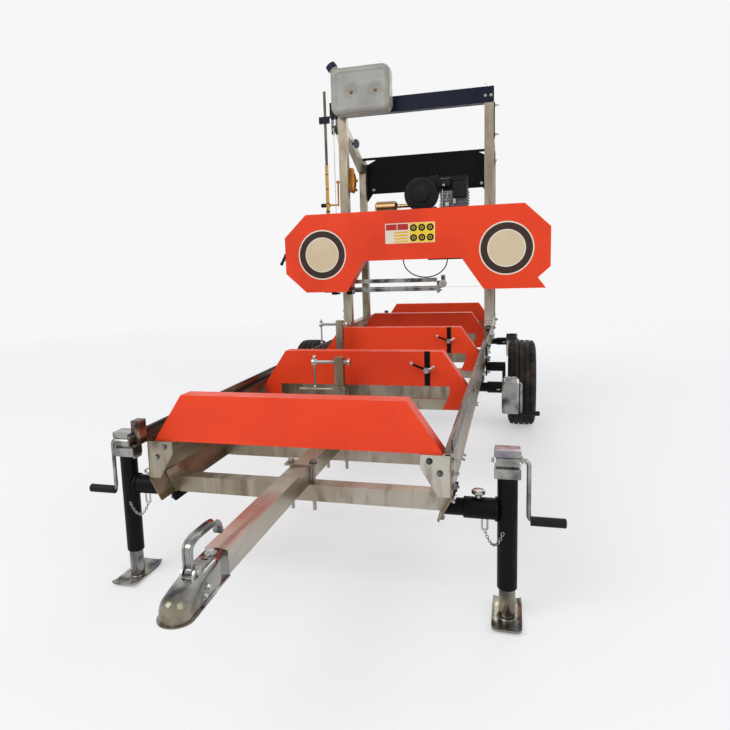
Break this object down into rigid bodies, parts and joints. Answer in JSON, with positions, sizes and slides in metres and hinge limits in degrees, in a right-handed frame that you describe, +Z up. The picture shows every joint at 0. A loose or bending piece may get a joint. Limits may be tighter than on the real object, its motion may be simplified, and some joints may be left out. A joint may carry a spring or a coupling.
{
  "type": "portable band sawmill",
  "caption": "Portable band sawmill on a trailer bed with log bunks, drawbar, road wheels, screw jacks and a powered saw head on a rolling four-post carriage.",
  "frame": {"origin": "centre of the outline on the ground, under the mill", "axes": "+X to the right seen from the drawbar, +Y from the drawbar to the rear along the rails, +Z up"},
  "size_m": [1.774, 5.024, 2.4565],
  "materials": {
    "galvanised": "satin",
    "orange_paint": "gloss",
    "black_paint": "satin",
    "navy_paint": "satin",
    "zinc": "satin",
    "yellow_zinc": "satin",
    "tyre_rubber": "matte",
    "rim_grey": "satin",
    "tank_plastic": "satin",
    "bright_steel": "bright",
    "cast_grey": "matte",
    "engine_alloy": "matte",
    "engine_black": "matte",
    "muffler_gold": "satin",
    "hose_black": "satin",
    "scale_steel": "satin"
  },
  "bodies": {
    "bed": {"left_rail": "galvanised", "right_rail": "galvanised", "left_track": "black_paint", "right_track": "black_paint", "lower_cross_tubes": "galvanised", "upper_cross_tubes": "galvanised", "bunk_1": "orange_paint", "bunk_2": "orange_paint", "bunk_3": "orange_paint", "bunk_4": "orange_paint", "bunk_5": "orange_paint", "bed_brackets": "galvanised", "clamp_holders": "galvanised", "drawbar": "galvanised", "coupling_body": "zinc", "half_axles": "black_paint", "jack_pipes": "black_paint"},
    "coupling_lever": {"coupling_lever": "zinc"},
    "right_wheel": {"right_rim": "rim_grey", "right_tyre": "tyre_rubber"},
    "left_wheel": {"left_rim": "rim_grey", "left_tyre": "tyre_rubber"},
    "log_stop_1": {"log_stop_1": "black_paint"},
    "log_stop_2": {"log_stop_2": "black_paint"},
    "carriage": {"carriage_frame": "galvanised", "top_beam": "navy_paint", "water_tank": "tank_plastic", "rear_guard": "black_paint", "winch_body": "yellow_zinc", "lift_cable": "bright_steel"},
    "front_track_wheels": {"front_track_wheels": "bright_steel"},
    "rear_track_wheels": {"rear_track_wheels": "bright_steel"},
    "winch_crank": {"winch_crank": "bright_steel"},
    "lift_sheave": {"lift_sheave": "bright_steel"},
    "head": {"head_frame": "black_paint", "blade_cover": "orange_paint", "blade": "bright_steel", "engine_block": "engine_alloy", "engine_shroud": "engine_black", "muffler": "muffler_gold", "height_scale": "scale_steel", "coolant_hose": "hose_black"},
    "drive_wheel": {"drive_wheel": "cast_grey"},
    "idler_wheel": {"idler_wheel": "cast_grey"},
    "guide_arm": {"guide_arm": "zinc"},
    "guide_roller": {"guide_roller": "bright_steel"},
    "right_front_jack": {"right_front_jack_body": "black_paint"},
    "right_front_jack_leg": {"right_front_jack_leg": "zinc"},
    "right_front_jack_crank": {"right_front_jack_crank": "zinc"},
    "right_mid_jack": {"right_mid_jack": "black_paint"},
    "right_rear_jack": {"right_rear_jack": "black_paint"},
    "left_front_jack": {"left_front_jack_body": "black_paint"},
    "left_front_jack_leg": {"left_front_jack_leg": "zinc"},
    "left_front_jack_crank": {"left_front_jack_crank": "zinc"},
    "left_mid_jack": {"left_mid_jack": "black_paint"},
    "left_rear_jack": {"left_rear_jack": "black_paint"},
    "log_clamp_1": {"log_clamp_1_post": "galvanised"},
    "log_clamp_1_screw": {"log_clamp_1_screw": "zinc"},
    "log_clamp_2": {"log_clamp_2_post": "galvanised"},
    "log_clamp_2_screw": {"log_clamp_2_screw": "zinc"}
  },
  "joints": [
    {"name": "coupling_lever_pivot", "type": "hinge", "parent": "bed", "child": "coupling_lever", "pos_m": [0, -2.4, 0.46], "axis": [1, 0, 0], "range_deg": [0, 60]},
    {"name": "right_wheel_spin", "type": "hinge", "parent": "bed", "child": "right_wheel", "pos_m": [0.717, 0.778, 0.278], "axis": [1, 0, 0], "continuous": true},
    {"name": "right_front_jack_swing", "type": "hinge", "parent": "bed", "child": "right_front_jack", "pos_m": [0.57, -1.644, 0.35], "axis": [1, 0, 0], "range_deg": [0, 90]},
    {"name": "right_front_jack_lift", "type": "slide", "parent": "right_front_jack", "child": "right_front_jack_leg", "axis": [0, 0, 1], "range_m": [-0.15, 0.09]},
    {"name": "right_front_jack_turn", "type": "hinge", "parent": "right_front_jack", "child": "right_front_jack_crank", "pos_m": [0.68, -1.644, 0.508], "axis": [1, 0, 0], "continuous": true},
    {"name": "right_mid_jack_swing", "type": "hinge", "parent": "bed", "child": "right_mid_jack", "pos_m": [0.57, 0.228, 0.35], "axis": [1, 0, 0], "range_deg": [0, 90]},
    {"name": "right_rear_jack_swing", "type": "hinge", "parent": "bed", "child": "right_rear_jack", "pos_m": [0.57, 2.32, 0.35], "axis": [1, 0, 0], "range_deg": [0, 90]},
    {"name": "left_wheel_spin", "type": "hinge", "parent": "bed", "child": "left_wheel", "pos_m": [-0.717, 0.778, 0.278], "axis": [1, 0, 0], "continuous": true},
    {"name": "left_front_jack_swing", "type": "hinge", "parent": "bed", "child": "left_front_jack", "pos_m": [-0.57, -1.644, 0.35], "axis": [1, 0, 0], "range_deg": [0, 90]},
    {"name": "left_front_jack_lift", "type": "slide", "parent": "left_front_jack", "child": "left_front_jack_leg", "axis": [0, 0, 1], "range_m": [-0.15, 0.09]},
    {"name": "left_front_jack_turn", "type": "hinge", "parent": "left_front_jack", "child": "left_front_jack_crank", "pos_m": [-0.68, -1.644, 0.508], "axis": [1, 0, 0], "continuous": true},
    {"name": "left_mid_jack_swing", "type": "hinge", "parent": "bed", "child": "left_mid_jack", "pos_m": [-0.57, 0.228, 0.35], "axis": [1, 0, 0], "range_deg": [0, 90]},
    {"name": "left_rear_jack_swing", "type": "hinge", "parent": "bed", "child": "left_rear_jack", "pos_m": [-0.57, 2.32, 0.35], "axis": [1, 0, 0], "range_deg": [0, 90]},
    {"name": "log_stop_1_rise", "type": "slide", "parent": "bed", "child": "log_stop_1", "axis": [0, 0, 1], "range_m": [0, 0.15]},
    {"name": "log_clamp_1_rise", "type": "slide", "parent": "bed", "child": "log_clamp_1", "axis": [0, 0, 1], "range_m": [0, 0.17]},
    {"name": "log_clamp_1_grip", "type": "slide", "parent": "log_clamp_1", "child": "log_clamp_1_screw", "axis": [1, 0, 0], "range_m": [0, 0.08]},
    {"name": "log_stop_2_rise", "type": "slide", "parent": "bed", "child": "log_stop_2", "axis": [0, 0, 1], "range_m": [0, 0.15]},
    {"name": "log_clamp_2_rise", "type": "slide", "parent": "bed", "child": "log_clamp_2", "axis": [0, 0, 1], "range_m": [-0.05, 0.1]},
    {"name": "log_clamp_2_grip", "type": "slide", "parent": "log_clamp_2", "child": "log_clamp_2_screw", "axis": [1, 0, 0], "range_m": [0, 0.08]},
    {"name": "carriage_travel", "type": "slide", "parent": "bed", "child": "carriage", "axis": [0, 1, 0], "range_m": [-2.55, 0.55]},
    {"name": "front_track_wheels_roll", "type": "hinge", "parent": "carriage", "child": "front_track_wheels", "pos_m": [0, 0.999, 0.615], "axis": [1, 0, 0], "continuous": true},
    {"name": "rear_track_wheels_roll", "type": "hinge", "parent": "carriage", "child": "rear_track_wheels", "pos_m": [0, 1.599, 0.615], "axis": [1, 0, 0], "continuous": true},
    {"name": "head_lift", "type": "slide", "parent": "carriage", "child": "head", "axis": [0, 0, 1], "range_m": [-0.16, 0.28], "deforming": ["lift_cable"]},
    {"name": "winch_turn", "type": "hinge", "parent": "carriage", "child": "winch_crank", "pos_m": [-0.5, 1.134, 1.684], "axis": [1, 0, 0], "continuous": true},
    {"name": "sheave_turn", "type": "hinge", "parent": "carriage", "child": "lift_sheave", "pos_m": [-0.56, 0.984, 2.027], "axis": [1, 0, 0], "continuous": true},
    {"name": "drive_wheel_spin", "type": "hinge", "parent": "head", "child": "drive_wheel", "pos_m": [0.617, 0.818, 1.154], "axis": [0, 1, 0], "continuous": true},
    {"name": "idler_wheel_spin", "type": "hinge", "parent": "head", "child": "idler_wheel", "pos_m": [-0.617, 0.818, 1.154], "axis": [0, 1, 0], "continuous": true},
    {"name": "guide_reach", "type": "slide", "parent": "head", "child": "guide_arm", "axis": [1, 0, 0], "range_m": [-0.2, 0.15]},
    {"name": "guide_roller_spin", "type": "hinge", "parent": "guide_arm", "child": "guide_roller", "pos_m": [0.203, 0.818, 0.9338], "axis": [0, 1, 0], "continuous": true}
  ],
  "couplings": [
    {"joint": "front_track_wheels_roll", "follows": "carriage_travel", "rad_per_m": -45.455},
    {"joint": "rear_track_wheels_roll", "follows": "carriage_travel", "rad_per_m": -45.455},
    {"joint": "winch_turn", "follows": "head_lift", "rad_per_m": 44.444},
    {"joint": "sheave_turn", "follows": "head_lift", "rad_per_m": -37.736},
    {"joint": "idler_wheel_spin", "follows": "drive_wheel_spin", "ratio": 1}
  ]
}
